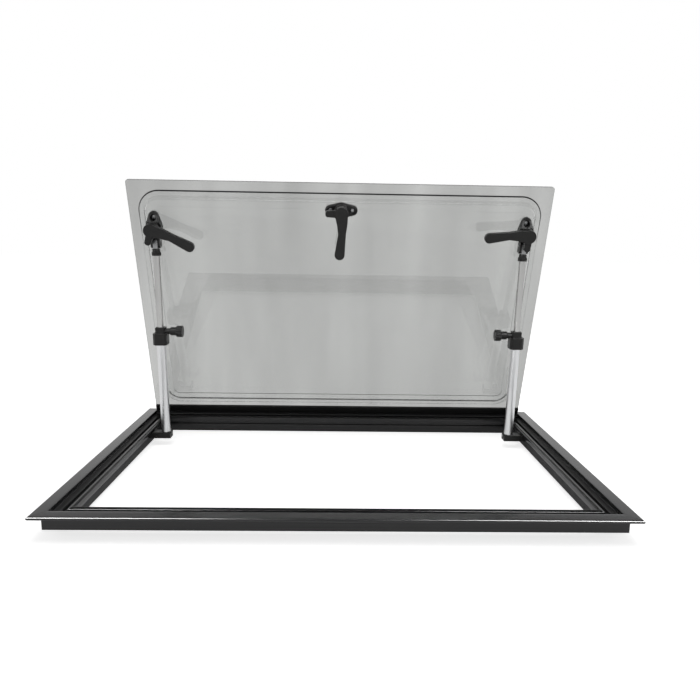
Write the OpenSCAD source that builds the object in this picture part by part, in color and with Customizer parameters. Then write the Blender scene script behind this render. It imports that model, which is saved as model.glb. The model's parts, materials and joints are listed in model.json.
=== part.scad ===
// Top-hung caravan window: a mitred black frame with a double pane that stands open on two stays.
// It lies with its outer side up. X runs along the hinge, Y points to the hinge rail and Z up.
// The origin is on the floor, below the middle of the frame.

/* [Frame] */
// Width of the wall cut-out that the frame fits
cutout_w = 700; // [600:1:1000]
// Height of the wall cut-out that the frame fits
cutout_h = 450; // [430:1:700]
// How far the flange covers the wall round the cut-out
flange_overhang = 12; // [10:0.5:16]
// Height of the flange's rounded tip above the frame's bottom
tip_z = 31; // [29:0.5:36]
// Radius of the flange's rounded tip
tip_r = 2.2; // [1.5:0.1:3]
// Width of the flange from its tip to its inner edge
flange_w = 18; // [17:0.5:22]
// Rise of the flange's crest above its tip
crest_rise = 2.3; // [2.2:0.1:4]
// Depth of the spigot below the flange's tip
spigot_depth = 19; // [18:0.5:22]
// Width of the rebate that the pane's edge lies in
rebate_w = 9; // [8:0.5:11]
// Depth of the rebate below the flange's tip
rebate_depth = 3.8; // [3.6:0.1:4.5]
// Width of the drain groove between the rebate and the upstand
drain_w = 6.6; // [5:0.1:8]
// Depth of the drain groove below the flange's tip
drain_depth = 8; // [7:0.5:9.5]
// Width of the upstand that carries the seal
upstand_w = 7.4; // [7:0.1:10]
// Height of the upstand's inner face
upstand_h = 7; // [6:0.5:8]
// Depth of the upstand's top below the flange's tip
upstand_depth = 2.6; // [2.4:0.1:3.2]
// Distance by which the upstand overhangs the inner leg
leg_set_back = 8; // [6:0.5:9]
// Thickness of the extrusion's walls
wall_t = 2; // [1.5:0.1:2.5]
// Radius of the rounded edges along the extrusion
edge_r = 1; // [0.5:0.1:1.2]

/* [Seal] */
// Radius of the seal's bulb
bulb_r = 2.6; // [2:0.1:3]
// Height of the bulb's top above the upstand
bulb_rise = 1.3; // [0.8:0.1:1.5]
// Width of the seal's foot in its groove
seal_foot_w = 3; // [2.5:0.1:3.5]
// Depth of the seal's foot
seal_foot_h = 2.4; // [2:0.1:3]

/* [Pane] */
// Angle at which the pane stands open
open_angle = 73.5; // [60:0.5:80]
// Gap between the flange's inner edge and the pane
pane_gap = 2.5; // [2:0.1:3]
// Thickness of the outer pane
pane_t = 4; // [3:0.1:5]
// Corner radius of the outer pane
pane_corner_r = 5; // [3:0.5:10]
// Thickness of the inner pane
inner_t = 2; // [1.5:0.1:2.5]
// Distance from the outer pane's edge to the inner pane's edge
inner_margin = 17; // [16:0.5:19]
// Distance from the hinge's axis to the inner pane's edge
inner_hinge_margin = 27; // [26:0.5:34]
// Corner radius of the inner pane
inner_corner_r = 34; // [26:0.5:40]
// Width of the inner pane's flat bonded rim
rim_w = 7; // [5:0.5:9]
// Width over which the inner pane slopes from its rim to its face
slope_w = 4; // [3:0.5:7]
// Height of the inner pane's face above its rim
dish_h = 8; // [6:0.5:10]

/* [Hinge] */
// Radius of the hinge's knuckle
knuckle_r = 3; // [2.6:0.1:3.2]
// Width of the hinge strip that covers the pane's edge
hinge_cover_w = 17; // [14:0.5:22]
// Distance from the flange's inner edge to the hinge's axis
hinge_set_in = 3.5; // [3.5:0.1:4.5]
// Width of the hook that laps over the hinge's knuckle
hook_w = 2; // [1.5:0.1:2.1]
// Height of the pane's middle above the hinge's axis when it is shut
pane_lift = 4.3; // [4:0.1:5]
// Thickness of the hinge strip's two lips
hinge_lip_t = 1.6; // [1.2:0.1:2]
// Thickness of the hinge strip's end caps
hinge_cap_t = 2.5; // [2:0.1:4]

/* [Latches] */
// Distance from the upstand's inner face to each stay and side latch
stay_inset = 22; // [20:0.5:24]
// Distance from the hinge's axis to the side latches
side_latch_s = 361; // [340:1:370]
// Distance from the pane's free edge to the middle latch
centre_latch_inset = 40; // [36:1:50]
// Height of a latch's base plate
base_h = 5; // [4:0.5:6]
// Radius of a latch's pivot boss
boss_r = 9; // [8:0.5:10]
// Height of a latch's pivot boss above the inner pane
boss_h = 20; // [19:0.5:22]
// Radius of the spindle on which the lever turns
spindle_r = 3; // [2.5:0.1:4]
// Height of the spindle above its boss
spindle_h = 8; // [6:0.5:9]
// Distance from the spindle to the lever's tip
lever_l = 72; // [60:1:80]
// Width of the lever at its neck
lever_neck_w = 16.5; // [14:0.5:18]
// Width of the lever at its waist
lever_waist_w = 12; // [9:0.5:13]
// Width of the lever at its tip
lever_tip_w = 16; // [13:0.5:17]
// Thickness of the lever
lever_t = 8; // [6:0.5:10]
// Sideways offset of the lever's neck and waist
neck_offset = 1.5; // [0:0.5:3]
// Sideways bend of the lever at its tip, towards its tongue
lever_bend = 2; // [0:0.5:6]
// Rise of the lever's tip above its hub
lever_rise = 6; // [5.5:0.5:8]
// Radius of the lever's hub
hub_r = 11; // [10:0.5:12]
// Distance from the spindle to the end of the locking tongue
tongue_l = 25; // [22:0.5:27]
// Width of the locking tongue
tongue_w = 9.5; // [8:0.5:12]
// Thickness of the locking tongue
tongue_t = 9; // [6:0.5:10]
// Angle of the left lever, with 0 pointing right and 90 to the free edge
left_lever_angle = -20; // [-80:1:0]
// Radius of a latch screw's head
screw_r = 3.6; // [3:0.1:4]

/* [Stays] */
// Distance from the hinge rail's outer tip to a stay's foot pin
foot_inset = 113; // [100:1:140]
// Depth of the foot's pin below the flange's tip
foot_pin_depth = 10.5; // [10:0.5:13]
// Radius of the pins at both ends of a stay
pin_r = 2.5; // [2:0.1:3]
// Radius of the stay's tube
tube_r = 7.7; // [7:0.1:8]
// Wall of the stay's tube
tube_wall = 1.2; // [1:0.1:1.5]
// Radius of the stay's rod
rod_r = 5.2; // [4.5:0.1:5.4]
// Distance from the foot's pin to the collar's lower end
collar_s = 158; // [120:1:180]
// Height of the collar's block
collar_block_h = 19.5; // [16:0.5:24]
// Width of the collar's block
collar_block_w = 23; // [20:0.5:25]
// Height of the collar's neck
collar_neck_h = 10; // [9.5:0.5:14]
// Width of the collar's neck
collar_neck_w = 14.6; // [13.5:0.1:16]
// Distance from the latch's spindle back to the stay's top pin
top_pin_back = 21; // [19:0.5:24]
// Height of the stay's top pin above the inner pane
top_pin_h = 8; // [8:0.1:8.5]
// Radius of the largest step of the rod's end fitting
fitting_r = 7.4; // [6.5:0.1:7.6]

/* [Clamp knobs] */
// Radius of the knob's head
knob_r = 9.5; // [8:0.5:12]
// Width of the knob's head
knob_head_w = 10; // [8:0.5:14]
// Radius of the knob's shank
shank_r = 6.9; // [6:0.1:7.5]
// Length of the knob's shank
shank_l = 10; // [6:0.5:14]
// Number of grooves round the knob's head
knob_flutes = 12; // [8:1:16]

/* [Hidden] */
// Frame
frame_w = cutout_w + 2*flange_overhang;
frame_h = cutout_h + 2*flange_overhang;
rebate_u = flange_w + rebate_w;
upstand_u = rebate_u + drain_w;
inner_u = upstand_u + upstand_w;
leg_u = inner_u - leg_set_back;
leg_t = 2.4;
flange_under_z = tip_z - tip_r;
crest_z = tip_z + crest_rise;
spigot_z = tip_z - spigot_depth;
rebate_z = tip_z - rebate_depth;
drain_z = tip_z - drain_depth;
upstand_z = tip_z - upstand_depth;
overhang_z = upstand_z - upstand_h;
edge_bevel = 0.6;
open_x = frame_w/2 - inner_u;
leg_x = frame_w/2 - leg_u;
arc_steps = 8;
fit_gap = 0.05;
seat_gap = 0.3;
sheet = 0.01;
// Pane, in its own closed frame: the hinge's axis at the origin, s from there to the free edge
hinge_y = frame_h/2 - flange_w - hinge_set_in;
hinge_z = tip_z - 2;
pane_w = frame_w - 2*(flange_w + pane_gap);
pane_s1 = frame_h - 2*flange_w - hinge_set_in - pane_gap;
strip_s0 = knuckle_r + 2.5;
pane_s0 = strip_s0 + 1.5;
strip_neck_t = 2.5;
socket_r = knuckle_r + seat_gap;
inner_n = pane_lift - pane_t/2 - inner_t;
face_n = inner_n - dish_h;
inner_w = pane_w - 2*inner_margin;
inner_s1 = pane_s1 - inner_margin;
inner_s0 = inner_hinge_margin;
dish_in = rim_w + slope_w;
// Latches, measured from the inner pane's face
centre_latch_s = pane_s1 - centre_latch_inset;
handle_z = boss_h + seat_gap;
handle_h = 12.5;
lever_z = handle_z + handle_h - lever_t;
tongue_z = handle_z + 1.2;
tongue_taper = 1.5;
tongue_bevel = 2.5;
latch_x = open_x - stay_inset;
base_l_up = 25;
base_w = 25;
base_end_r = 8;
base_ramp_h = 13;
pocket_r = screw_r + 1.2;
pocket_z = 2;
screw_head_h = 2;
up_screw = 15;
centre_base_half = 26;
centre_screw = 17.5;
ear_in = 4.2;
ear_t = 3;
ear_r = 6.4;
// Stays
foot_y = frame_h/2 - foot_inset;
foot_pin_z = tip_z - foot_pin_depth;
stay_x = latch_x;
top_s = side_latch_s - top_pin_back;
top_n = face_n - top_pin_h;
top_y = hinge_y - top_s*cos(open_angle) + top_n*sin(open_angle);
top_z = hinge_z + top_s*sin(open_angle) + top_n*cos(open_angle);
stay_dy = top_y - foot_y;
stay_dz = top_z - foot_pin_z;
stay_l = sqrt(stay_dy*stay_dy + stay_dz*stay_dz);
stay_tilt = -atan2(stay_dy, stay_dz);
eye_r = 5.6;
eye_w = 8;
foot_eye_w = 6;
tube_s0 = 4;
collar_top = collar_s + collar_block_h + collar_neck_h;
tube_s1 = collar_s + collar_block_h - 3;
rod_s0 = collar_s - 60;
fitting_l = 25;
fitting_s = stay_l - fitting_l;
rod_s1 = fitting_s + 8;
knob_s = collar_s + collar_block_h + 3;
collar_bevel = 4;
collar_lug = 2;
collar_boss_x = 16.5;
collar_boss_r = 5;
knob_x0 = collar_boss_x + seat_gap;
knob_spindle_r = 2.6;
knob_spindle_l = 6;
foot_in = 9;
foot_len = 18;
foot_wall_t = 1.6;
foot_slot = foot_eye_w/2 + seat_gap;
foot_top = foot_pin_z + 3;
foot_floor = foot_pin_z - eye_r - seat_gap - foot_wall_t;

frame_black = [0.10, 0.10, 0.10];
rubber_black = [0.06, 0.06, 0.06];
smoke = [0.55, 0.56, 0.55, 0.45];
moulded_black = [0.16, 0.16, 0.15];
bare_alloy = [0.80, 0.81, 0.82];
zinc = [0.72, 0.73, 0.74];

// Points of an arc about [cu, cz]
function arc(cu, cz, r, a0, a1) =
    [for (i = [0:arc_steps]) let (a = a0 + (a1 - a0)*i/arc_steps) [cu + r*cos(a), cz + r*sin(a)]];

// Outline of the frame's extrusion: u runs inwards from the flange's tip, z up from the bottom
function rail_outline() = let (foot_u = upstand_u + (upstand_w - seal_foot_w)/2) concat(
    arc(tip_r, tip_z, tip_r, 270, 90),
    [for (i = [1:arc_steps - 1]) let (t = i/arc_steps)
        [tip_r + (flange_w - 2*tip_r)*t, tip_z + tip_r + (crest_rise - tip_r)*sin(90*t)]],
    arc(flange_w - edge_r, crest_z - edge_r, edge_r, 90, 0),
    [[flange_w, rebate_z + edge_bevel], [flange_w + edge_bevel, rebate_z],
     [rebate_u - edge_bevel, rebate_z], [rebate_u, rebate_z - edge_bevel],
     [rebate_u, drain_z], [upstand_u, drain_z], [upstand_u, upstand_z],
     [foot_u, upstand_z], [foot_u, upstand_z - seal_foot_h],
     [foot_u + seal_foot_w, upstand_z - seal_foot_h], [foot_u + seal_foot_w, upstand_z]],
    arc(inner_u - edge_r, upstand_z - edge_r, edge_r, 90, 0),
    [[inner_u, overhang_z + edge_bevel], [inner_u - edge_bevel, overhang_z], [leg_u, overhang_z],
     [leg_u, edge_bevel], [leg_u - edge_bevel, 0], [leg_u - leg_t, 0], [leg_u - leg_t, spigot_z],
     [flange_overhang + edge_bevel, spigot_z], [flange_overhang, spigot_z + edge_bevel],
     [flange_overhang, flange_under_z]]
);

// Open space inside the extrusion, so that it is a hollow chamber with even walls
module rail_chamber() {
    translate([flange_overhang + wall_t, spigot_z + wall_t])
        square([leg_u - flange_overhang - 2*wall_t, drain_z - spigot_z - 2*wall_t]);
}

// One rail as long as len, along X, with its tip at y = 0 and its ends cut at 45 degrees
module rail(len) {
    intersection() {
        translate([len/2, 0, 0]) rotate([90, 0, -90])
            linear_extrude(height = len)
                difference() {
                    mirror([1, 0]) polygon(rail_outline());
                    mirror([1, 0]) rail_chamber();
                }
        linear_extrude(height = 3*tip_z)
            polygon([[-len/2, 0], [len/2, 0], [len/2 - inner_u - 1, inner_u + 1], [-len/2 + inner_u + 1, inner_u + 1]]);
    }
}

// One seal strip with a bulb on a foot, along X, cut at 45 degrees like its rail
module seal(len) {
    seal_u = upstand_u + upstand_w/2;
    bulb_z = upstand_z + bulb_rise - bulb_r;
    intersection() {
        translate([len/2, 0, 0]) rotate([90, 0, -90])
            linear_extrude(height = len) mirror([1, 0]) {
                translate([seal_u - seal_foot_w/2, upstand_z - seal_foot_h])
                    square([seal_foot_w, seal_foot_h]);
                intersection() {
                    translate([seal_u, bulb_z]) circle(r = bulb_r, $fn = 32);
                    translate([seal_u - bulb_r, upstand_z]) square([2*bulb_r, bulb_r]);
                }
            }
        linear_extrude(height = 3*tip_z)
            polygon([[-len/2, 0], [len/2, 0], [len/2 - inner_u, inner_u], [-len/2 + inner_u, inner_u]]);
    }
}

// Puts a rail or a seal on one side of the frame
module on_side(side) {
    turn = side == "sill" ? 0 : side == "right" ? 90 : side == "hinge" ? 180 : 270;
    reach = (side == "sill" || side == "hinge") ? frame_h/2 : frame_w/2;
    rotate([0, 0, turn]) translate([0, -reach, 0]) children();
}

// Socket along the hinge's axis, in which the hinge strip's knuckle turns
module hinge_socket() {
    translate([-pane_w/2 - seat_gap, hinge_y, hinge_z]) rotate([0, 90, 0])
        cylinder(r = socket_r, h = pane_w + 2*seat_gap, $fn = 32);
}

module sill_rail() {
    color(frame_black) on_side("sill") rail(frame_w);
}

// A stile, whose corner at the hinge rail holds the end of the hinge's socket
module stile(side) {
    color(frame_black)
        difference() {
            on_side(side) rail(frame_h);
            hinge_socket();
        }
}

// The hinge rail, with a hook and a socket along it for the hinge strip's knuckle
module hinge_rail() {
    hook_l = frame_w - 2*(flange_w + hook_w);
    color(frame_black)
        difference() {
            union() {
                on_side("hinge") rail(frame_w);
                translate([-hook_l/2, frame_h/2 - flange_w - hook_w, rebate_z - wall_t/2])
                    cube([hook_l, hook_w + edge_r, crest_z - edge_bevel - rebate_z + wall_t/2]);
            }
            hinge_socket();
        }
}

module seal_side(side) {
    color(rubber_black) on_side(side) seal((side == "sill" || side == "hinge") ? frame_w : frame_h);
}

// Places what is drawn closed, with the hinge's axis at its origin, on the open pane
module on_pane() {
    translate([0, hinge_y, hinge_z]) rotate([-open_angle, 0, 0]) children();
}

// A flat rounded rectangle in the pane's closed frame
module rounded_sheet(w, s0, s1, r, fn = 48) {
    translate([-w/2 + r, -s1]) square([w - 2*r, s1 - s0]);
    translate([-w/2, -s1 + r]) square([w, s1 - s0 - 2*r]);
    for (x = [-1, 1], s = [s0 + r, s1 - r])
        translate([x*(w/2 - r), -s]) circle(r = r, $fn = fn);
}

module outer_pane() {
    color(smoke) on_pane() translate([0, 0, pane_lift - pane_t/2])
        linear_extrude(height = pane_t) rounded_sheet(pane_w, pane_s0, pane_s1, pane_corner_r);
}

// The raised part of the inner pane, set in by a distance and cut at a height
module dish(inset, low, high) {
    hull() {
        translate([0, 0, low]) linear_extrude(height = sheet)
            rounded_sheet(inner_w - 2*(rim_w + inset), inner_s0 + rim_w + inset, inner_s1 - rim_w - inset,
                          inner_corner_r - rim_w, 32);
        translate([0, 0, high]) linear_extrude(height = sheet)
            rounded_sheet(inner_w - 2*(dish_in + inset), inner_s0 + dish_in + inset, inner_s1 - dish_in - inset,
                          inner_corner_r - dish_in, 32);
    }
}

module inner_pane() {
    color(smoke) on_pane()
        difference() {
            union() {
                translate([0, 0, inner_n])
                    linear_extrude(height = inner_t) rounded_sheet(inner_w, inner_s0, inner_s1, inner_corner_r);
                dish(0, inner_n, face_n);
            }
            translate([0, 0, inner_t + sheet]) dish(inner_t/2, inner_n, face_n);
        }
}

// Section of the hinge strip: a knuckle, a neck and two lips that grip the pane's edge
module strip_section() {
    half = pane_t/2 + hinge_lip_t;
    circle(r = knuckle_r, $fn = 32);
    translate([0, -strip_neck_t/4]) square([strip_s0 + 1, strip_neck_t]);
    difference() {
        translate([strip_s0, pane_lift - half]) square([hinge_cover_w - strip_s0, 2*half]);
        translate([pane_s0, pane_lift - pane_t/2]) square([hinge_cover_w, pane_t]);
    }
}

// Extruded strip that hooks into the hinge rail and grips the pane's edge
module hinge_strip() {
    strip_w = pane_w - 2*hinge_cap_t;
    color(frame_black) on_pane()
        translate([strip_w/2, 0, 0]) rotate([90, 0, -90]) linear_extrude(height = strip_w) strip_section();
}

module hinge_cap(side) {
    cap_x = side > 0 ? pane_w/2 : hinge_cap_t - pane_w/2;
    color(moulded_black) on_pane()
        translate([cap_x, 0, 0]) rotate([90, 0, -90]) linear_extrude(height = hinge_cap_t) strip_section();
}

// Places a latch: x to the right, y to the free edge, z away from the inner pane's face
module at_latch(x, s) {
    on_pane() translate([x, -s, face_n]) rotate([180, 0, 0]) children();
}

// Plan of a side latch's base: a boat shape, narrow at its top, with a neck for the fork
module side_plan() {
    hull() {
        circle(r = base_w/2, $fn = 32);
        translate([0, base_l_up - base_end_r]) circle(r = base_end_r, $fn = 32);
    }
    translate([-ear_in - ear_t, -top_pin_back - ear_r])
        square([2*(ear_in + ear_t), top_pin_back + ear_r]);
}

// Side view of that base, which slopes down from its hub to both ends
module side_slope() {
    polygon([[-top_pin_back - ear_r - 1, 0], [base_l_up + 1, 0], [base_l_up + 1, base_h],
             [base_l_up - 5, base_h + 1], [boss_r, base_ramp_h], [-boss_r - 1, base_ramp_h],
             [-boss_r - 5, base_h], [-top_pin_back - ear_r - 1, base_h]]);
}

module latch_post() {
    cylinder(r = boss_r, h = boss_h, $fn = 48);
    cylinder(r = spindle_r, h = boss_h + spindle_h, $fn = 32);
}

module side_base(side) {
    color(moulded_black) at_latch(side*latch_x, side_latch_s)
        difference() {
            union() {
                intersection() {
                    linear_extrude(height = boss_h) side_plan();
                    translate([-base_w, 0, 0]) rotate([90, 0, 90]) linear_extrude(height = 2*base_w) side_slope();
                }
                latch_post();
                for (x = [-1, 1])
                    translate([x*(ear_in + ear_t/2), -top_pin_back, 0]) {
                        translate([-ear_t/2, -ear_r, 0]) cube([ear_t, 2*ear_r, top_pin_h]);
                        translate([-ear_t/2, 0, top_pin_h]) rotate([0, 90, 0])
                            cylinder(r = ear_r, h = ear_t, $fn = 32);
                    }
            }
            translate([0, up_screw, pocket_z]) cylinder(r = pocket_r, h = boss_h, $fn = 32);
            translate([-ear_in, -top_pin_back - 2*ear_r, 1.2])
                cube([2*ear_in, 2*ear_r + top_pin_back - boss_r - 1, base_h + 2*ear_r]);
            translate([-base_w, -top_pin_back, top_pin_h]) rotate([0, 90, 0])
                cylinder(r = pin_r, h = 2*base_w, $fn = 32);
        }
}

// Plan of the middle latch's base: round ends, and a middle that peaks towards the free edge
module centre_plan(inset) {
    hull() {
        circle(r = base_w/2 - inset, $fn = 32);
        for (x = [-1, 1])
            translate([x*(centre_base_half - base_end_r), 0]) circle(r = base_end_r - inset, $fn = 32);
    }
}

module centre_base() {
    color(moulded_black) at_latch(0, centre_latch_s)
        difference() {
            union() {
                linear_extrude(height = base_h) centre_plan(0);
                linear_extrude(height = base_h + 1.5) centre_plan(1.5);
                cylinder(r = base_w/2 - 2, h = base_ramp_h, $fn = 48);
                latch_post();
            }
            for (x = [-1, 1])
                translate([x*centre_screw, 0, pocket_z]) cylinder(r = pocket_r, h = boss_h, $fn = 32);
        }
}

// One pan-head screw in its pocket
module screw_head() {
    difference() {
        cylinder(r = screw_r, h = screw_head_h, $fn = 32);
        translate([0, 0, screw_head_h - 0.8]) cylinder(r = screw_r*0.45, h = 1, $fn = 6);
    }
}

module side_screws(side) {
    color(zinc) at_latch(side*latch_x, side_latch_s)
        translate([0, up_screw, pocket_z]) screw_head();
}

module centre_screws() {
    color(zinc) at_latch(0, centre_latch_s)
        for (x = [-1, 1]) translate([x*centre_screw, 0, pocket_z]) screw_head();
}

// Plan of the locking tongue: a broad root that tapers to a bevelled end
module tongue_plan() {
    half = tongue_w/2;
    polygon([[-half - tongue_taper, 0], [half + tongue_taper, 0], [half, -tongue_l + tongue_bevel],
             [half - tongue_bevel, -tongue_l], [-half + tongue_bevel, -tongue_l], [-half, -tongue_l + tongue_bevel]]);
}

// Lever along +x with its tongue along -y, for a latch that turns on its spindle
module lever() {
    mid = lever_l*0.44;
    tip = lever_l - lever_tip_w/2;
    bend_x = hub_r + 4;
    top_z = handle_z + handle_h;
    difference() {
        union() {
            translate([0, 0, handle_z]) cylinder(r = hub_r, h = handle_h, $fn = 48);
            intersection() {
                translate([0, 0, lever_z]) linear_extrude(height = lever_t + lever_rise) {
                    hull() {
                        circle(r = hub_r - edge_bevel, $fn = 32);
                        translate([bend_x, neck_offset]) circle(r = lever_neck_w/2, $fn = 32);
                    }
                    hull() {
                        translate([bend_x, neck_offset]) circle(r = lever_neck_w/2, $fn = 32);
                        translate([mid, neck_offset]) circle(r = lever_waist_w/2, $fn = 32);
                    }
                    hull() {
                        translate([mid, neck_offset]) circle(r = lever_waist_w/2, $fn = 32);
                        translate([tip, -lever_bend]) circle(r = lever_tip_w/2, $fn = 32);
                    }
                }
                translate([0, 2*hub_r, 0]) rotate([90, 0, 0]) linear_extrude(height = 4*hub_r)
                    polygon([[-hub_r, lever_z], [bend_x, lever_z], [lever_l + 1, lever_z + lever_rise],
                             [lever_l + 1, top_z + lever_rise - 1.5], [bend_x, top_z], [-hub_r, top_z]]);
            }
            translate([0, 0, tongue_z]) linear_extrude(height = tongue_t) tongue_plan();
        }
        translate([0, 0, boss_h - 1]) cylinder(r = spindle_r + fit_gap, h = spindle_h + 1 + seat_gap, $fn = 32);
    }
}

module latch_lever(which) {
    if (which == "left")
        color(moulded_black) at_latch(-latch_x, side_latch_s) rotate([0, 0, left_lever_angle]) lever();
    if (which == "right")
        color(moulded_black) at_latch(latch_x, side_latch_s) mirror([1, 0, 0]) lever();
    if (which == "centre")
        color(moulded_black) at_latch(0, centre_latch_s) rotate([0, 0, -90]) lever();
}

// Foot on the stile's inner leg: a slotted block that holds the stay's lower eye
module stay_foot(side) {
    under_w = leg_x - stay_x;
    beside_w = open_x - seat_gap - stay_x;
    color(moulded_black) translate([side*stay_x, foot_y, 0]) mirror([side < 0 ? 1 : 0, 0, 0])
        difference() {
            union() {
                translate([-foot_in, -foot_len/2, foot_floor])
                    cube([foot_in + beside_w, foot_len, foot_top - foot_floor]);
                translate([0, -foot_len/2, foot_floor])
                    cube([under_w, foot_len, overhang_z - seat_gap - foot_floor]);
            }
            translate([-foot_slot, -foot_len/2 + foot_wall_t, foot_floor + foot_wall_t])
                cube([2*foot_slot, foot_len - 2*foot_wall_t, foot_top]);
            translate([-2*foot_in, 0, foot_pin_z]) rotate([0, 90, 0])
                cylinder(r = pin_r, h = 3*foot_in, $fn = 32);
        }
}

module stay_foot_pin(side) {
    color(zinc) translate([side*stay_x, foot_y, foot_pin_z]) mirror([side < 0 ? 1 : 0, 0, 0])
        translate([-foot_in - 1, 0, 0]) rotate([0, 90, 0]) cylinder(r = pin_r - fit_gap, h = 2*foot_in, $fn = 32);
}

// Places what is drawn along +z on a stay, from its foot pin to its top pin
module on_stay(side) {
    translate([side*stay_x, foot_y, foot_pin_z]) rotate([stay_tilt, 0, 0])
        mirror([side < 0 ? 1 : 0, 0, 0]) children();
}

// An eye round a pin along x, with a shank of radius r up to height top
module eye(r, top) {
    half = foot_eye_w/2;
    difference() {
        union() {
            translate([-half, 0, 0]) rotate([0, 90, 0]) cylinder(r = eye_r, h = 2*half, $fn = 32);
            translate([-half, -eye_r + 0.6, 0]) cube([2*half, 2*eye_r - 1.2, eye_r + 1]);
            translate([0, 0, eye_r]) cylinder(r = r, h = top - eye_r, $fn = 48);
        }
        translate([-2*half, 0, 0]) rotate([0, 90, 0]) cylinder(r = pin_r, h = 4*half, $fn = 32);
    }
}

module stay_eye(side) {
    color(moulded_black) on_stay(side) eye(tube_r - tube_wall - fit_gap, tube_s0 + 14);
}

module stay_tube(side) {
    color(bare_alloy) on_stay(side)
        difference() {
            translate([0, 0, tube_s0]) cylinder(r = tube_r, h = tube_s1 - tube_s0, $fn = 48);
            translate([0, 0, tube_s0 - 1]) cylinder(r = tube_r - tube_wall, h = stay_l, $fn = 48);
            translate([-0.6, -tube_r - 1, tube_s0 - 1]) cube([1.2, 1.5, stay_l]);
        }
}

module bevelled_square(w, bevel) {
    half = w/2;
    polygon([for (q = [0:3], e = [0:1]) let (a = e == 0 ? half : half - bevel, b = e == 0 ? half - bevel : half)
        [a*cos(90*q) - b*sin(90*q), a*sin(90*q) + b*cos(90*q)]]);
}

module stay_collar(side) {
    color(moulded_black) on_stay(side)
        difference() {
            union() {
                translate([0, 0, collar_s]) linear_extrude(height = collar_block_h)
                    bevelled_square(collar_block_w, collar_bevel);
                translate([-collar_neck_w/2, -collar_neck_w/2, collar_s])
                    cube([collar_neck_w, collar_neck_w, collar_block_h + collar_neck_h]);
                translate([-collar_neck_w/2, collar_neck_w/2 - collar_lug, collar_top]) rotate([90, 0, 0])
                    linear_extrude(height = collar_neck_w - 2*collar_lug)
                        polygon([[0, -2*collar_lug], [-collar_lug, 0], [0, 0]]);
                translate([0, 0, knob_s]) rotate([0, -90, 0])
                    cylinder(r = collar_boss_r, h = collar_boss_x, $fn = 32);
            }
            translate([0, 0, collar_s - 1]) cylinder(r = tube_r + fit_gap, h = tube_s1 - collar_s + 1, $fn = 48);
            translate([0, 0, collar_s - 1]) cylinder(r = rod_r + fit_gap, h = stay_l, $fn = 48);
            translate([-collar_boss_x + knob_spindle_l, 0, knob_s]) rotate([0, -90, 0])
                cylinder(r = knob_spindle_r + fit_gap, h = 2*knob_spindle_l, $fn = 32);
        }
}

module clamp_knob(side) {
    color(moulded_black) on_stay(side) translate([-knob_x0, 0, knob_s]) rotate([0, -90, 0])
        difference() {
            union() {
                translate([0, 0, -knob_spindle_l + 0.5]) cylinder(r = knob_spindle_r, h = knob_spindle_l, $fn = 32);
                cylinder(r = shank_r, h = shank_l + 1, $fn = 48);
                translate([0, 0, shank_l]) cylinder(r = knob_r, h = knob_head_w, $fn = 48);
            }
            for (i = [0:knob_flutes - 1])
                rotate([0, 0, 360*i/knob_flutes]) translate([knob_r + 0.7, 0, shank_l - 1])
                    cylinder(r = 1.5, h = knob_head_w + 2, $fn = 16);
        }
}

module stay_rod(side) {
    color(bare_alloy) on_stay(side)
        translate([0, 0, rod_s0]) cylinder(r = rod_r, h = rod_s1 - rod_s0, $fn = 48);
}

// Stepped plastic end of the rod, with an eye in the latch base's fork
module stay_fitting(side) {
    color(moulded_black) on_stay(side)
        difference() {
            union() {
                translate([0, 0, fitting_s]) cylinder(r = fitting_r, h = 6, $fn = 48);
                translate([0, 0, fitting_s + 5]) cylinder(r = fitting_r - 1.2, h = 6, $fn = 48);
                translate([-eye_w/2, -eye_r + 0.6, fitting_s + 10]) cube([eye_w, 2*eye_r - 1.2, fitting_l - 10]);
                translate([-eye_w/2, 0, stay_l]) rotate([0, 90, 0]) cylinder(r = eye_r, h = eye_w, $fn = 32);
            }
            translate([0, 0, fitting_s - 1]) cylinder(r = rod_r + fit_gap, h = rod_s1 - fitting_s + 1 + fit_gap, $fn = 48);
            translate([-eye_w, 0, stay_l]) rotate([0, 90, 0]) cylinder(r = pin_r, h = 2*eye_w, $fn = 32);
        }
}

module stay_top_pin(side) {
    half = ear_in + ear_t + 0.8;
    color(zinc) at_latch(side*latch_x, side_latch_s)
        translate([-half, -top_pin_back, top_pin_h]) rotate([0, 90, 0])
            cylinder(r = pin_r - fit_gap, h = 2*half, $fn = 32);
}

sill_rail();
hinge_rail();
stile("left");  // left_stile
stile("right");  // right_stile
seal_side("sill");  // sill_seal
seal_side("hinge");  // hinge_seal
seal_side("left");  // left_seal
seal_side("right");  // right_seal
outer_pane();
inner_pane();
hinge_strip();
hinge_cap(-1);  // hinge_cap_left
hinge_cap(1);  // hinge_cap_right
side_base(-1);  // latch_base_left
side_base(1);  // latch_base_right
centre_base();  // latch_base_centre
side_screws(-1);  // latch_screws_left
side_screws(1);  // latch_screws_right
centre_screws();  // latch_screws_centre
latch_lever("left");  // latch_lever_left
latch_lever("right");  // latch_lever_right
latch_lever("centre");  // latch_lever_centre
stay_foot(-1);  // stay_foot_left
stay_foot(1);  // stay_foot_right
stay_foot_pin(-1);  // stay_foot_pin_left
stay_foot_pin(1);  // stay_foot_pin_right
stay_eye(-1);  // stay_eye_left
stay_eye(1);  // stay_eye_right
stay_tube(-1);  // stay_tube_left
stay_tube(1);  // stay_tube_right
stay_collar(-1);  // stay_collar_left
stay_collar(1);  // stay_collar_right
stay_rod(-1);  // stay_rod_left
stay_rod(1);  // stay_rod_right
stay_fitting(-1);  // stay_fitting_left
stay_fitting(1);  // stay_fitting_right
stay_top_pin(-1);  // stay_top_pin_left
stay_top_pin(1);  // stay_top_pin_right
clamp_knob(-1);  // clamp_knob_left
clamp_knob(1);  // clamp_knob_right
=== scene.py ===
import bpy
import json
import math
import numpy as np
from mathutils import Matrix, Vector


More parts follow.
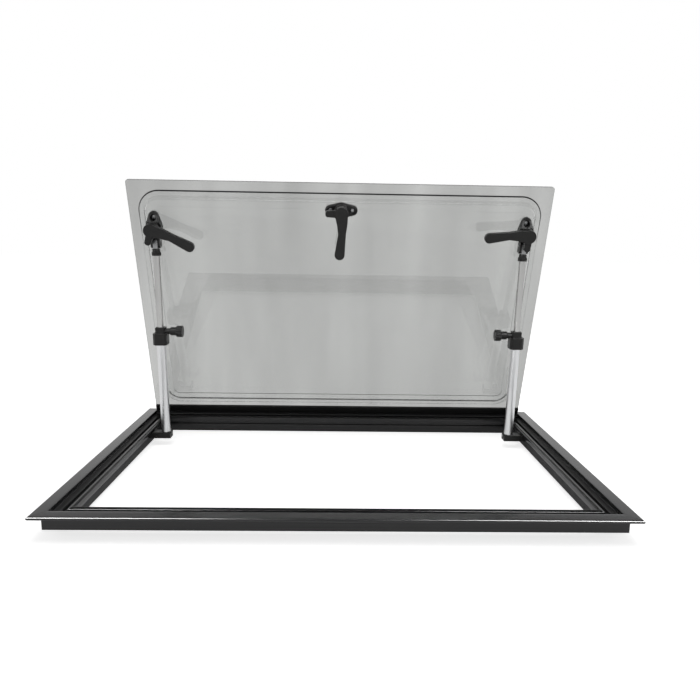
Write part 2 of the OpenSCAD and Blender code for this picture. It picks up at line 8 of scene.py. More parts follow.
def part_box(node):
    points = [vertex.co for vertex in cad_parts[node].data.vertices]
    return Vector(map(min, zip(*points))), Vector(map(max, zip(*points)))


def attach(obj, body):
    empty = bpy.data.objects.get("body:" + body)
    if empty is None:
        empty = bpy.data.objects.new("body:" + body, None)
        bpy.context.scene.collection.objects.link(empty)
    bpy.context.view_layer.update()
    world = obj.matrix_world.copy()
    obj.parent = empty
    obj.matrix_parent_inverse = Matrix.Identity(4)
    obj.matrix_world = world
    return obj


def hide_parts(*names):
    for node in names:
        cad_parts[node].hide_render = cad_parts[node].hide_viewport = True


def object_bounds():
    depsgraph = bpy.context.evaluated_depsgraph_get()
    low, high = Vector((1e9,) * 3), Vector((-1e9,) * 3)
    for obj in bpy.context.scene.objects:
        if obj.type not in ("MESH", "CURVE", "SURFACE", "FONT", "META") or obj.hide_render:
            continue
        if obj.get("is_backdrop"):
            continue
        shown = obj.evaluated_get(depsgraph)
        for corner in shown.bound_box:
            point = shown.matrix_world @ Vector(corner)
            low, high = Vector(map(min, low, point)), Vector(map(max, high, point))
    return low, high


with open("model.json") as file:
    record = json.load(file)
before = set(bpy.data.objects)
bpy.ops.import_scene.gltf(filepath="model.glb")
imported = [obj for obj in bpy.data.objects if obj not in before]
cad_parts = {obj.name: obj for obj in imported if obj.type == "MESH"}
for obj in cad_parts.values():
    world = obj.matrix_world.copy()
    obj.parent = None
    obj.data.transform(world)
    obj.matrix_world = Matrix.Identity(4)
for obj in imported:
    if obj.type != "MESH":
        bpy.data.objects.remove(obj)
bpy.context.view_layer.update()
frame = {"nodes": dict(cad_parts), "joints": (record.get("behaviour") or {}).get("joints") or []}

# The frame
# Four lengths of gloss black coated aluminium extrusion, sawn at 45 degrees and keyed together at
# the corners. The flange laps over the wall, and the upstand inside it carries the seal.
MM = 0.001
stile_low, stile_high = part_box("left_stile")
sill_low, sill_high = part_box("sill_rail")
FRAME_W = sill_high.x - sill_low.x
FRAME_H = stile_high.y - stile_low.y
TIP_Z = 31.0*MM
NOSE_R = 2.2*MM
FLANGE_W = 18.0*MM
CREST_Z = TIP_Z + 2.3*MM
OVERHANG = 12.0*MM
SPIGOT_Z = TIP_Z - 19.0*MM
REBATE_U = FLANGE_W + 9.0*MM
REBATE_Z = TIP_Z - 3.8*MM
DRAIN_Z = TIP_Z - 8.0*MM
UPSTAND_U = REBATE_U + 6.6*MM
UPSTAND_W = 7.4*MM
RAIL_INNER_U = UPSTAND_U + UPSTAND_W
UPSTAND_Z = TIP_Z - 2.6*MM
OVERHANG_Z = UPSTAND_Z - 7.0*MM
LEG_U = RAIL_INNER_U - 8.0*MM
LEG_T = 2.4*MM
GROOVE_Z = 13.5*MM
GROOVE_DEPTH = 4.0*MM
SILL_LEG_END = 3.0*MM
SEAL_SLOT_W = 3.0*MM
SEAL_SLOT_U = UPSTAND_U + (UPSTAND_W - SEAL_SLOT_W)/2
SEAL_SLOT_H = 2.4*MM
EDGE_BEVEL = 0.6*MM
CORNER_EASE = 0.35*MM
SAW_GAP = 0.12*MM
HINGE_U = FLANGE_W + 3.5*MM
HINGE_Z = TIP_Z - 2.0*MM
SOCKET_R = 3.3*MM
HOOK_W = 2.0*MM


def arc(centre, radius, start, end, count):
    """Points on a circle, from one angle to the other in even steps, in degrees."""
    a = np.radians(np.linspace(start, end, count))
    return np.stack([centre[0] + radius*np.cos(a), centre[1] + radius*np.sin(a)], 1)


def eased(outline, radius, steps=4):
    """A closed outline whose corners are each replaced by a short parabola.

    The parabola leaves one side and meets the next at the same distance from the corner: the
    radius, or a little under half of the shorter side.
    """
    corner = np.asarray(outline, float)
    to_last = np.roll(corner, 1, 0) - corner
    to_next = np.roll(corner, -1, 0) - corner
    len_last = np.linalg.norm(to_last, axis=1, keepdims=True)
    len_next = np.linalg.norm(to_next, axis=1, keepdims=True)
    reach = np.minimum(radius, 0.45*np.minimum(len_last, len_next))
    start = corner + to_last/len_last*reach
    end = corner + to_next/len_next*reach
    t = np.linspace(0, 1, steps)[None, :, None]
    curve = (1 - t)**2*start[:, None] + 2*t*(1 - t)*corner[:, None] + t**2*end[:, None]
    return curve.reshape(-1, corner.shape[1])


def new_piece(name, mesh, material, body="root", nodes=(), smooth_angle=32.0):
    """Makes the object of a mesh, smooth below an angle, and fixes it to its body."""
    mesh.validate()
    mesh.update()
    mesh.shade_smooth()
    mesh.set_sharp_from_angle(angle=math.radians(smooth_angle))
    piece = bpy.data.objects.new(name, mesh)
    bpy.context.scene.collection.objects.link(piece)
    piece.data.materials.clear()
    piece.data.materials.append(material)
    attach(piece, body)
    if nodes:
        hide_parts(*nodes)
    return piece


def grid_faces(rings, count, first=0):
    """Faces of a tube of rings that each have count points, as an array of corner numbers."""
    i = np.arange(rings - 1)[:, None]*count
    j = np.arange(count)[None, :]
    k = (j + 1) % count
    return (first + np.stack([i + j, i + k, i + count + k, i + count + j], -1)).reshape(-1, 4)


def tube_mesh(name, shells):
    """A mesh of closed shells, each an array of rings of points whose two ends are capped."""
    points, faces, first = [], [], 0
    for rings in shells:
        n, m = rings.shape[:2]
        points.append(rings.reshape(-1, 3))
        faces += grid_faces(n, m, first).tolist()
        faces.append(list(range(first + m - 1, first - 1, -1)))
        faces.append(list(range(first + (n - 1)*m, first + n*m)))
        first += n*m
    mesh = bpy.data.meshes.new(name)
    mesh.from_pydata(np.concatenate(points).tolist(), [], faces)
    turn_outwards(mesh)
    return mesh


def turn_outwards(mesh):
    """Turns a closed mesh's faces round if the volume that they enclose comes out negative."""
    mesh.calc_loop_triangles()
    corner = np.empty(len(mesh.vertices)*3)
    mesh.vertices.foreach_get("co", corner)
    corner = corner.reshape(-1, 3)
    triangle = np.empty(len(mesh.loop_triangles)*3, np.int32)
    mesh.loop_triangles.foreach_get("vertices", triangle)
    a, b, c = (corner[triangle.reshape(-1, 3)[:, i]] for i in range(3))
    if (a*np.cross(b, c)).sum() < 0:
        mesh.flip_normals()


def finish_sides(mesh, materials, number):
    """Gives each side face of a tube of two rings a further material by number, from 1.

    Number 0 is the material that the piece has already, which its two end faces keep.
    """
    for material in materials:
        mesh.materials.append(material)
    mesh.polygons.foreach_set("material_index", np.append(number, [0, 0]).astype(np.int32))


def rail_outline(with_socket, leg_end):
    """Section of the extrusion: u inwards from the flange's tip, z up from the floor.

    The flange rises from its round nose to its crest along a quarter of a sine wave. The hinge
    rail's flange ends in a hook over a round socket, in which the hinge strip's knuckle lies. Under
    the overhang a groove runs along the leg, for the clips of the inner trim.
    """
    t = np.linspace(0, 1, 14)[1:-1, None]
    rise = CREST_Z - TIP_Z - NOSE_R
    crown = np.concatenate([NOSE_R + (FLANGE_W - 2*NOSE_R)*t,
                            TIP_Z + NOSE_R + rise*np.sin(np.pi/2*t)], 1)
    if with_socket:
        hook_u = FLANGE_W + HOOK_W
        hook_top = CREST_Z - EDGE_BEVEL
        meet = math.degrees(math.acos((hook_u - HINGE_U)/SOCKET_R))
        floor_at = math.degrees(math.asin((REBATE_Z - HINGE_Z)/SOCKET_R))
        inside = np.concatenate([[(FLANGE_W, hook_top), (hook_u, hook_top)],
                                 arc((HINGE_U, HINGE_Z), SOCKET_R, meet, 360 + floor_at, 26)])
    else:
        inside = np.array([(FLANGE_W, REBATE_Z + EDGE_BEVEL), (FLANGE_W + EDGE_BEVEL, REBATE_Z)])
    slot_end = SEAL_SLOT_U + SEAL_SLOT_W
    rest = [(REBATE_U - EDGE_BEVEL, REBATE_Z), (REBATE_U, REBATE_Z - EDGE_BEVEL),
            (REBATE_U, DRAIN_Z), (UPSTAND_U, DRAIN_Z), (UPSTAND_U, UPSTAND_Z),
            (SEAL_SLOT_U, UPSTAND_Z), (SEAL_SLOT_U, UPSTAND_Z - SEAL_SLOT_H),
            (slot_end, UPSTAND_Z - SEAL_SLOT_H), (slot_end, UPSTAND_Z),
            (RAIL_INNER_U, UPSTAND_Z), (RAIL_INNER_U, OVERHANG_Z),
            (LEG_U - GROOVE_DEPTH, OVERHANG_Z), (LEG_U - GROOVE_DEPTH, GROOVE_Z), (LEG_U, GROOVE_Z),
            (LEG_U, leg_end), (LEG_U - LEG_T, leg_end), (LEG_U - LEG_T, SPIGOT_Z),
            (OVERHANG, SPIGOT_Z), (OVERHANG, TIP_Z - NOSE_R)]
    nose = arc((NOSE_R, TIP_Z), NOSE_R, 270, 90, 12)
    return np.concatenate([nose, crown, [(FLANGE_W, CREST_Z)], inside, rest])


def along_side(outlines, side, inset_gap):
    """Two rings: a pair of outlines carried along one side of the frame and cut at 45 degrees.

    On the sill, a point (u, z) of the section is at x = -/+ (length/2 - u - gap) on the left and
    right ring and at y = u - width/2. The other sides are quarter turns of that about z.
    """
    length, width = (FRAME_W, FRAME_H) if side in ("sill", "hinge") else (FRAME_H, FRAME_W)
    ends = np.stack([np.stack([s*(length/2 - outline[:, 0] - inset_gap), outline[:, 0] - width/2,
                               outline[:, 1]], 1) for s, outline in zip((-1, 1), outlines)])
    quarter = {"sill": 0, "right": 1, "hinge": 2, "left": 3}[side]*math.pi/2
    c, s = round(math.cos(quarter)), round(math.sin(quarter))
    return ends @ np.array([[c, s, 0], [-s, c, 0], [0, 0, 1]], float)


def shader(name, base, roughness, metallic=0.0, **sockets):
    """A new material and its Principled shader, with plain values on the shader's sockets."""
    material = bpy.data.materials.new(name)
    material.use_nodes = True
    bsdf = material.node_tree.nodes["Principled BSDF"]
    bsdf.inputs["Base Color"].default_value = (*base, 1)
    bsdf.inputs["Roughness"].default_value = roughness
    bsdf.inputs["Metallic"].default_value = metallic
    for socket, value in sockets.items():
        bsdf.inputs[socket.replace("_", " ")].default_value = value
    return material, bsdf


BUMP_DEPTH = 0.2*MM


def surface_group():
    """Node group for fine surface variation: cloudy colour, uneven gloss and a fine bump.

    Two noises on Object coordinates are used, a broad one and a fine one, and the coordinates
    are first stretched, so that the pattern can run along a piece as a drawn or sanded one does.
    """
    group = bpy.data.node_groups.new("surface variation", "ShaderNodeTree")
    face = group.interface
    face.new_socket("Colour", in_out="INPUT", socket_type="NodeSocketColor")
    for name, value in (("Colour spread", 0.1), ("Roughness", 0.4), ("Roughness spread", 0.1),
                        ("Broad scale", 30.0), ("Fine scale", 900.0), ("Bump", 0.1)):
        face.new_socket(name, in_out="INPUT", socket_type="NodeSocketFloat").default_value = value
    stretch = face.new_socket("Stretch", in_out="INPUT", socket_type="NodeSocketVector")
    stretch.default_value = (1, 1, 1)
    face.new_socket("Colour", in_out="OUTPUT", socket_type="NodeSocketColor")
    face.new_socket("Roughness", in_out="OUTPUT", socket_type="NodeSocketFloat")
    face.new_socket("Normal", in_out="OUTPUT", socket_type="NodeSocketVector")
    nodes, links = group.nodes, group.links
    given = nodes.new("NodeGroupInput")
    made = nodes.new("NodeGroupOutput")
    place = nodes.new("ShaderNodeTexCoord")
    stretched = nodes.new("ShaderNodeVectorMath")
    stretched.operation = "MULTIPLY"
    links.new(place.outputs["Object"], stretched.inputs[0])
    links.new(given.outputs["Stretch"], stretched.inputs[1])
    broad = nodes.new("ShaderNodeTexNoise")
    broad.inputs["Detail"].default_value = 3
    fine = nodes.new("ShaderNodeTexNoise")
    fine.inputs["Detail"].default_value = 2
    for noise, scale in ((broad, "Broad scale"), (fine, "Fine scale")):
        links.new(stretched.outputs[0], noise.inputs["Vector"])
        links.new(given.outputs[scale], noise.inputs["Scale"])

    def spread_of(noise, amount, middle):
        """middle + (noise - 0.5) * 2 * amount"""
        centred = nodes.new("ShaderNodeMath")
        centred.operation = "MULTIPLY_ADD"
        centred.inputs[1].default_value = 2
        centred.inputs[2].default_value = -1
        links.new(noise.outputs["Fac"], centred.inputs[0])
        moved = nodes.new("ShaderNodeMath")
        moved.operation = "MULTIPLY_ADD"
        links.new(centred.outputs[0], moved.inputs[0])
        links.new(given.outputs[amount], moved.inputs[1])
        if isinstance(middle, str):
            links.new(given.outputs[middle], moved.inputs[2])
        else:
            moved.inputs[2].default_value = middle
        return moved

    gain = spread_of(broad, "Colour spread", 1.0)
    scaled = nodes.new("ShaderNodeVectorMath")
    scaled.operation = "SCALE"
    links.new(given.outputs["Colour"], scaled.inputs[0])
    links.new(gain.outputs[0], scaled.inputs["Scale"])
    links.new(scaled.outputs[0], made.inputs["Colour"])
    gloss = spread_of(broad, "Roughness spread", "Roughness")
    links.new(gloss.outputs[0], made.inputs["Roughness"])
    bump = nodes.new("ShaderNodeBump")
    bump.inputs["Distance"].default_value = BUMP_DEPTH
    links.new(given.outputs["Bump"], bump.inputs["Strength"])
    links.new(fine.outputs["Fac"], bump.inputs["Height"])
    links.new(bump.outputs[0], made.inputs["Normal"])
    return group


SURFACE = surface_group()


def vary(material, bsdf, **values):
    """Puts the surface group on a material's colour, roughness and normal, with its own values."""
    tree = material.node_tree
    group = tree.nodes.new("ShaderNodeGroup")
    group.node_tree = SURFACE
    group.inputs["Colour"].default_value = bsdf.inputs["Base Color"].default_value
    group.inputs["Roughness"].default_value = bsdf.inputs["Roughness"].default_value
    for name, value in values.items():
        group.inputs[name.replace("_", " ")].default_value = value
    tree.links.new(group.outputs["Colour"], bsdf.inputs["Base Color"])
    tree.links.new(group.outputs["Roughness"], bsdf.inputs["Roughness"])
    tree.links.new(group.outputs["Normal"], bsdf.inputs["Normal"])


EXTRUSION_BLACK = (0.021, 0.021, 0.022)
rail_finish = {}
for run, stretch in (("crosswise", (0.03, 1, 1)), ("upright", (1, 0.03, 1))):
    rail_finish[run], rail_bsdf = shader("gloss black extrusion " + run, EXTRUSION_BLACK, 0.2,
                                         Specular_IOR_Level=0.5)
    vary(rail_finish[run], rail_bsdf, Colour_spread=0.15, Roughness_spread=0.04,
         Broad_scale=160.0, Fine_scale=1500.0, Bump=0.005, Stretch=stretch)

matt_leg, matt_bsdf = shader("matt black inner leg", (0.027, 0.027, 0.028), 0.5,
                             Specular_IOR_Level=0.3)
vary(matt_leg, matt_bsdf, Colour_spread=0.25, Roughness_spread=0.1, Broad_scale=120.0,
     Fine_scale=1800.0, Bump=0.1)
satin_drain, satin_bsdf = shader("satin black drain", (0.024, 0.024, 0.024), 0.42,
                                 Specular_IOR_Level=0.3)
vary(satin_drain, satin_bsdf, Colour_spread=0.15, Roughness_spread=0.06, Broad_scale=120.0,
     Fine_scale=1500.0, Bump=0.02)
rail_nodes = {"sill": "sill_rail", "hinge": "hinge_rail", "left": "left_stile",
              "right": "right_stile"}
leg_ends = {"sill": (SILL_LEG_END, SILL_LEG_END), "hinge": (0.0, 0.0), "left": (0.0, SILL_LEG_END),
            "right": (SILL_LEG_END, 0.0)}
SLACK = 0.1*MM
for side, node in rail_nodes.items():
    outlines = [eased(rail_outline(side == "hinge", leg_end), CORNER_EASE)
                for leg_end in leg_ends[side]]
    mesh = tube_mesh(node + "_extrusion", [along_side(outlines, side, SAW_GAP)])
    run = "crosswise" if side in ("sill", "hinge") else "upright"
    rail = new_piece(node + "_extrusion", mesh, rail_finish[run], nodes=[node])
    u, z = ((outlines[0] + np.roll(outlines[0], -1, 0))/2).T
    on_leg = (u > LEG_U - GROOVE_DEPTH - SLACK) & (z < OVERHANG_Z - SLACK) & (side != "hinge")
    in_drain = ((u > FLANGE_W + 2*SLACK) & (u < UPSTAND_U - SLACK)
                & (z > DRAIN_Z - SLACK) & (z < CREST_Z - 5*SLACK))
    finish_sides(mesh, (matt_leg, satin_drain), on_leg + 2*in_drain)
    if side == "sill":
        shiny_sill = rail

# The seal
# A hollow bulb of black rubber whose foot is pressed into the upstand's slot, cut at 45 degrees in
# each corner. The shut pane squeezes it.
BULB_R = 2.6*MM
BULB_RISE = 1.3*MM
BULB_LIFT = BULB_RISE - BULB_R
SEAL_GAP = 0.02*MM
rubber, rubber_bsdf = shader("black seal rubber", (0.014, 0.014, 0.014), 0.4)
vary(rubber, rubber_bsdf, Colour_spread=0.25, Roughness_spread=0.1, Broad_scale=120.0,
     Fine_scale=2500.0, Bump=0.02)
seal_mid = SEAL_SLOT_U + SEAL_SLOT_W/2
seal_lean = math.degrees(math.asin(BULB_LIFT/BULB_R))
seal_outline = np.concatenate([
    [(SEAL_SLOT_U, UPSTAND_Z - SEAL_SLOT_H), (SEAL_SLOT_U + SEAL_SLOT_W, UPSTAND_Z - SEAL_SLOT_H),
     (SEAL_SLOT_U + SEAL_SLOT_W, UPSTAND_Z)],
    arc((seal_mid, UPSTAND_Z + BULB_LIFT), BULB_R, -seal_lean, 180 + seal_lean, 24),
    [(SEAL_SLOT_U, UPSTAND_Z)]])
for side in rail_nodes:
    rings = along_side((seal_outline, seal_outline), side, SEAL_GAP)
    new_piece(side + "_seal_bulb", tube_mesh(side + "_seal_bulb", [rings]), rubber,
              nodes=[side + "_seal"])

# The panes
# A double pane of smoked acrylic: a flat outer sheet with polished edges, and a thinner inner sheet
# that is drawn into a shallow tray with wide corners and bonded to the outer one by its rim.
lever_joint = {j["name"]: j for j in frame["joints"]}["latch_turn_centre"]
INWARDS = np.array(lever_joint["axis"], float)
INWARDS /= np.linalg.norm(INWARDS)
OUTWARDS = -INWARDS
TO_FREE_EDGE = np.array([0, INWARDS[2], -INWARDS[1]])
HINGE_AXIS = np.array([0, FRAME_H/2 - HINGE_U, HINGE_Z])
PANE_LIFT = 4.3*MM
PANE_T = 4.0*MM
PANE_GAP = 2.5*MM
PANE_W = FRAME_W - 2*(FLANGE_W + PANE_GAP)
PANE_S0 = 7.0*MM
PANE_S1 = FRAME_H - HINGE_U - FLANGE_W - PANE_GAP
PANE_CORNER_R = 5.0*MM
INNER_T = 2.0*MM
INNER_MARGIN = 17.0*MM
INNER_S0 = 27.0*MM
INNER_CORNER_R = 34.0*MM
RIM_W = 7.0*MM
SLOPE_W = 4.0*MM
DISH_H = 8.0*MM
EDGE_POLISH = 0.6*MM
LEAST_CORNER_R = 0.2*MM
FACE_MARGIN = 12.0*MM
BEND_SHIFT = 1.0*MM
BEND_R = 2.5*MM
BEND_STEPS = 9
GLUE_GAP = 0.02*MM


def rounded_rectangle(width, low, high, radius, steps=30):
    """Points (x, s) round a rectangle centred on x = 0, with a quarter circle at each corner."""
    corners = (((width/2 - radius), low + radius, 270), ((width/2 - radius), high - radius, 0),
               (-(width/2 - radius), high - radius, 90), (-(width/2 - radius), low + radius, 180))
    return np.concatenate([arc((x, s), radius, a, a + 90, steps) for x, s, a in corners])


def on_pane(x, s, n):
    """Places points on the open pane: x to the right, s from the hinge's axis, n outwards.

    The place is the hinge's axis at x, plus s times the way to the free edge, plus n outwards.
    """
    x, s, n = np.broadcast_arrays(x, s, n)
    on_axis = HINGE_AXIS + np.stack([x, 0*x, 0*x], -1)
    return on_axis + s[..., None]*TO_FREE_EDGE + n[..., None]*OUTWARDS


def sheet_rings(width, low, high, radius, section):
    """Rings of a rounded sheet, one for each point (inset, n) of its section's edge."""
    rings = []
    for inset, n in section:
        at = rounded_rectangle(width - 2*inset, low + inset, high - inset,
                               max(radius - inset, LEAST_CORNER_R))
        rings.append(on_pane(at[:, 0], at[:, 1], np.full(len(at), n)))
    return np.stack(rings)


def acrylic(name, tint):
    """Clear cast acrylic: a smooth refracting sheet with its own tint."""
    return shader(name, tint, 0.015, IOR=1.49, Transmission_Weight=1.0)[0]


smoked = acrylic("smoked acrylic", (0.565, 0.57, 0.562))
clear = acrylic("clear acrylic", (0.93, 0.935, 0.93))
half_t = PANE_T/2
outer_section = [
    (EDGE_POLISH, PANE_LIFT - half_t), (0.2*EDGE_POLISH, PANE_LIFT - half_t + 0.2*EDGE_POLISH),
    (0, PANE_LIFT - half_t + EDGE_POLISH), (0, PANE_LIFT + half_t - EDGE_POLISH),
    (0.2*EDGE_POLISH, PANE_LIFT + half_t - 0.2*EDGE_POLISH), (EDGE_POLISH, PANE_LIFT + half_t)]
outer = sheet_rings(PANE_W, PANE_S0, PANE_S1, PANE_CORNER_R, outer_section)
new_piece("outer_pane_sheet", tube_mesh("outer_pane_sheet", [outer]), smoked,
          nodes=["outer_pane"])

rim_top = PANE_LIFT - half_t - GLUE_GAP
face = rim_top - INNER_T - DISH_H
slope_end = RIM_W + SLOPE_W
tray_room_side = [(0, rim_top - INNER_T), (RIM_W, rim_top - INNER_T), (slope_end, face),
                  (slope_end + FACE_MARGIN, face)]
tray_back = [(slope_end + FACE_MARGIN, face + INNER_T), (slope_end + BEND_SHIFT, face + INNER_T),
             (RIM_W + BEND_SHIFT, rim_top), (0, rim_top)]
tray = eased(np.array(tray_room_side + tray_back), BEND_R, BEND_STEPS)
tray = np.roll(tray, BEND_STEPS*len(tray_room_side) - 1, 0)[::-1]
inner_outline = (PANE_W - 2*INNER_MARGIN, INNER_S0, PANE_S1 - INNER_MARGIN, INNER_CORNER_R)
new_piece("inner_pane_tray", tube_mesh("inner_pane_tray", [sheet_rings(*inner_outline, tray)]),
          clear, nodes=["inner_pane"])

# The bond line
# A fillet of black adhesive along the inner sheet's edge, where it is stuck to the outer one. It is
# widest along the free edge and thins out down the sides towards the hinge.
BOND_WIDE = 1.7*MM
BOND_THIN = 0.15*MM
BOND_FADE = 60.0*MM
BOND_OUT = PANE_LIFT - half_t - 0.01*MM
BOND_FINENESS = 5
# Each point of the fillet's section: its share of the width, and of the inner sheet's thickness.
BOND_SECTION = ((-0.15, 0.0), (1.0, 0.0), (0.45, 0.45), (0.0, 0.9), (-0.15, 0.9))
bond, bond_bsdf = shader("black bond adhesive", (0.03, 0.03, 0.031), 0.35)
vary(bond, bond_bsdf, Colour_spread=0.3, Roughness_spread=0.1, Broad_scale=150.0, Fine_scale=900.0,
     Bump=0.2)


def bond_rings(width, low, high, radius):
    """Rings of a fillet round a rounded sheet: outline + outward normal * w(s) * a.

    a is 0 at the sheet's edge and 1 at the fillet's foot. Over a set length before the free edge's
    corners, the width w(s) grows with the square of the distance covered.
    """
    edge_at = rounded_rectangle(width, low, high, radius)
    grown = rounded_rectangle(width + 2*MM, low - MM, high + MM, radius + MM)
    t = np.linspace(0, len(edge_at), BOND_FINENESS*len(edge_at), endpoint=False)
    closed = np.arange(len(edge_at) + 1)
    edge_at, grown = (np.stack([np.interp(t, closed, np.append(line[:, k], line[0, k]))
                                for k in (0, 1)], 1) for line in (edge_at, grown))
    normal = (grown - edge_at)/MM
    share = np.clip((edge_at[:, 1] - (high - radius - BOND_FADE))/BOND_FADE, 0, 1)
    wide = BOND_THIN + (BOND_WIDE - BOND_THIN)*share**2
    rings = []
    for a, depth in BOND_SECTION:
        at = edge_at + normal*(wide*a)[:, None]
        rings.append(on_pane(at[:, 0], at[:, 1], np.full(len(at), BOND_OUT - depth*INNER_T)))
    return np.stack(rings)


def ring_mesh(name, rings):
    """A mesh of rings that close on themselves both ways round."""
    n, m = rings.shape[:2]
    mesh = bpy.data.meshes.new(name)
    faces = grid_faces(n + 1, m) % (n*m)
    mesh.from_pydata(rings.reshape(-1, 3).tolist(), [], faces.tolist())
    turn_outwards(mesh)
    return mesh


new_piece("pane_bond_line", ring_mesh("pane_bond_line", bond_rings(*inner_outline)), bond)

# The hinge strip
# A black extruded strip that grips the pane's edge between two lips, the inner one duller, with
# painted shade:
# the inner lip's room face is coloured darker for the shadow in the hinge rail's rebate. Its round
# knuckle hooks into the hinge rail's socket, and a moulded cap closes each end.
KNUCKLE_R = 3.0*MM
LIP_T = 1.6*MM
COVER_W = 17.0*MM
STRIP_S0 = 5.5*MM
STRIP_WALL = 1.0*MM
STRIP_EASE = 0.45*MM
NECK_LOW = -0.625*MM
NECK_HIGH = 1.875*MM
CAP_T = 2.5*MM
strip_low = PANE_LIFT - half_t - LIP_T
strip_high = PANE_LIFT + half_t + LIP_T
knuckle_from = math.degrees(math.asin(NECK_HIGH/KNUCKLE_R))
knuckle_to = 360 + math.degrees(math.asin(NECK_LOW/KNUCKLE_R))
strip_outline = np.concatenate([
    arc((0, 0), KNUCKLE_R, knuckle_from, knuckle_to, 28),
    [(STRIP_S0 + STRIP_WALL, NECK_LOW), (STRIP_S0 + STRIP_WALL, strip_low), (COVER_W, strip_low),
     (COVER_W, strip_low + LIP_T), (PANE_S0, strip_low + LIP_T), (PANE_S0, strip_high - LIP_T),
     (COVER_W, strip_high - LIP_T), (COVER_W, strip_high), (STRIP_S0, strip_high),
     (STRIP_S0, NECK_HIGH)]])
strip_outline = eased(strip_outline, STRIP_EASE)


def strip_along(x_from, x_to):
    """Rings of the hinge strip's section, set on the open pane, from one x to another."""
    s, n = strip_outline.T
    return np.stack([on_pane(np.full(len(s), x), s, n) for x in (x_from, x_to)])


# The inner lip's room face is duller, and its colour is darker than the extrusion's: that darker
# colour is painted shade from the hinge rail's rebate.
dull_lip_painted_shade, dull_lip_painted_shade_bsdf = shader("dull black inner lip", (0.009, 0.009, 0.009), 0.45,
                             Specular_IOR_Level=0.12)
vary(dull_lip_painted_shade, dull_lip_painted_shade_bsdf, Colour_spread=0.15, Roughness_spread=0.06, Broad_scale=120.0,
     Fine_scale=1500.0, Bump=0.02)
strip_mesh = tube_mesh("hinge_strip_extrusion", [
    strip_along(-PANE_W/2 + CAP_T, PANE_W/2 - CAP_T)])
new_piece("hinge_strip_extrusion", strip_mesh, rail_finish["crosswise"],
          nodes=["hinge_strip"])
s, n = ((strip_outline + np.roll(strip_outline, -1, 0))/2).T
# The inner lip's room face gets the duller material with its painted shade.
finish_sides(strip_mesh, [dull_lip_painted_shade], (n < strip_low + SLACK) & (s > STRIP_S0))

moulded, moulded_bsdf = shader("moulded black nylon", (0.0145, 0.0145, 0.014), 0.34,
                               Specular_IOR_Level=0.35)
vary(moulded, moulded_bsdf, Colour_spread=0.15, Roughness_spread=0.08, Broad_scale=90.0,
     Fine_scale=2600.0, Bump=0.25)
for side, sign in (("left", -1), ("right", 1)):
    ends = sorted((sign*(PANE_W/2 - CAP_T), sign*PANE_W/2))
    new_piece("hinge_end_cap_" + side, tube_mesh("hinge_end_cap_" + side, [strip_along(*ends)]),
              moulded, nodes=["hinge_cap_" + side])

# The latch bases
# Black nylon mouldings, screwed to the inner pane: a plate with a tall round boss that the lever
# turns on. The two at the sides also hold the stays' tops between two ears.
LATCH_VOXEL = 0.45*MM
WELD_GAP = 0.005*MM
shiny_mouldings = []


def softened(node, name, material, voxel, body="root"):
    """A copy of a CAD node as a moulding: its corners rounded by a remesh and a few smoothings.

    Each smoothing moves every point half of the way to the mean of its neighbours.
    """
    piece = new_piece(name, frame["nodes"][node].data.copy(), material, body, [node], 60)
    weld = piece.modifiers.new("weld", "WELD")
    weld.merge_threshold = WELD_GAP
    remesh = piece.modifiers.new("remesh", "REMESH")
    remesh.mode = "VOXEL"
    remesh.voxel_size = voxel
    remesh.use_smooth_shade = True
    smooth = piece.modifiers.new("smooth", "SMOOTH")
    smooth.factor = 0.5
    smooth.iterations = 4
    shiny_mouldings.append(piece)


for place in ("left", "right", "centre"):
    softened("latch_base_" + place, "latch_base_moulding_" + place, moulded,
             LATCH_VOXEL)

# The latch screws
# Zinc-plated pan-head screws with a cross recess, sunk in round pockets of the latch bases. Each
# side base has a smaller one as well, on the floor of its fork.
zinc, zinc_bsdf = shader("bright zinc plate", (0.40, 0.405, 0.41), 0.25, 1.0)
vary(zinc, zinc_bsdf, Colour_spread=0.12, Roughness_spread=0.1, Broad_scale=300.0,
     Fine_scale=3000.0, Bump=0.1)
SCREW_R = 3.6*MM
SCREW_H = 2.0*MM
POCKET_FLOOR = 2.0*MM
RECESS_W = 0.8*MM
RECESS_R = 2.3*MM
RECESS_DEPTH = 1.3*MM
RECESS_SIDE = 0.25*MM
RECESS_END = 0.3*MM
DOME_DROP = 0.35


def at_latch(x, s, points):
    """Places points drawn on a latch: x to the right, y to the free edge, z away from the pane."""
    return on_pane(x + points[..., 0], s + points[..., 1], face - points[..., 2])


def pan_head(radius, twist):
    """Rings of a pan head that stands on z = 0: a dome over a disc, with a cross sunk in it.

    On rings of radius r the height is H * (1 - drop * (r/R)^4), less the recess depth where either
    turned coordinate is within the cross's half width and r is within the cross's reach. A head of
    another radius is the same one scaled.
    """
    r = SCREW_R*np.concatenate([np.linspace(0.02, 0.7, 34), np.linspace(0.73, 1, 12)])[:, None]
    a = np.linspace(0, 2*np.pi, 121)[None, :-1]
    px, py = r*np.cos(a), r*np.sin(a)
    height = SCREW_H*(1 - DOME_DROP*(r/SCREW_R)**4) + 0*a
    arm = np.minimum(np.abs(px*math.cos(twist) + py*math.sin(twist)),
                     np.abs(py*math.cos(twist) - px*math.sin(twist)))
    sunk = np.clip((RECESS_W - arm)/RECESS_SIDE, 0, 1)*np.clip((RECESS_R - r)/RECESS_END, 0, 1)
    height = height - RECESS_DEPTH*sunk
    dome = np.stack([px, py, height], -1)
    rim = np.stack([px[-1:], py[-1:], 0*px[-1:]], -1)
    return np.concatenate([dome, rim])*(radius/SCREW_R)


screws_low, screws_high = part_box("latch_screws_right")
SIDE_LATCH_X = (screws_low.x + screws_high.x)/2
SIDE_LATCH_S = 361.0*MM
CENTRE_LATCH_S = PANE_S1 - 40.0*MM
SIDE_SCREW_S = 15.0*MM
CENTRE_SCREW_X = 17.5*MM
FORK_SCREW_S = -12.9*MM
FORK_SCREW_R = 2.4*MM
FORK_FLOOR = 1.2*MM
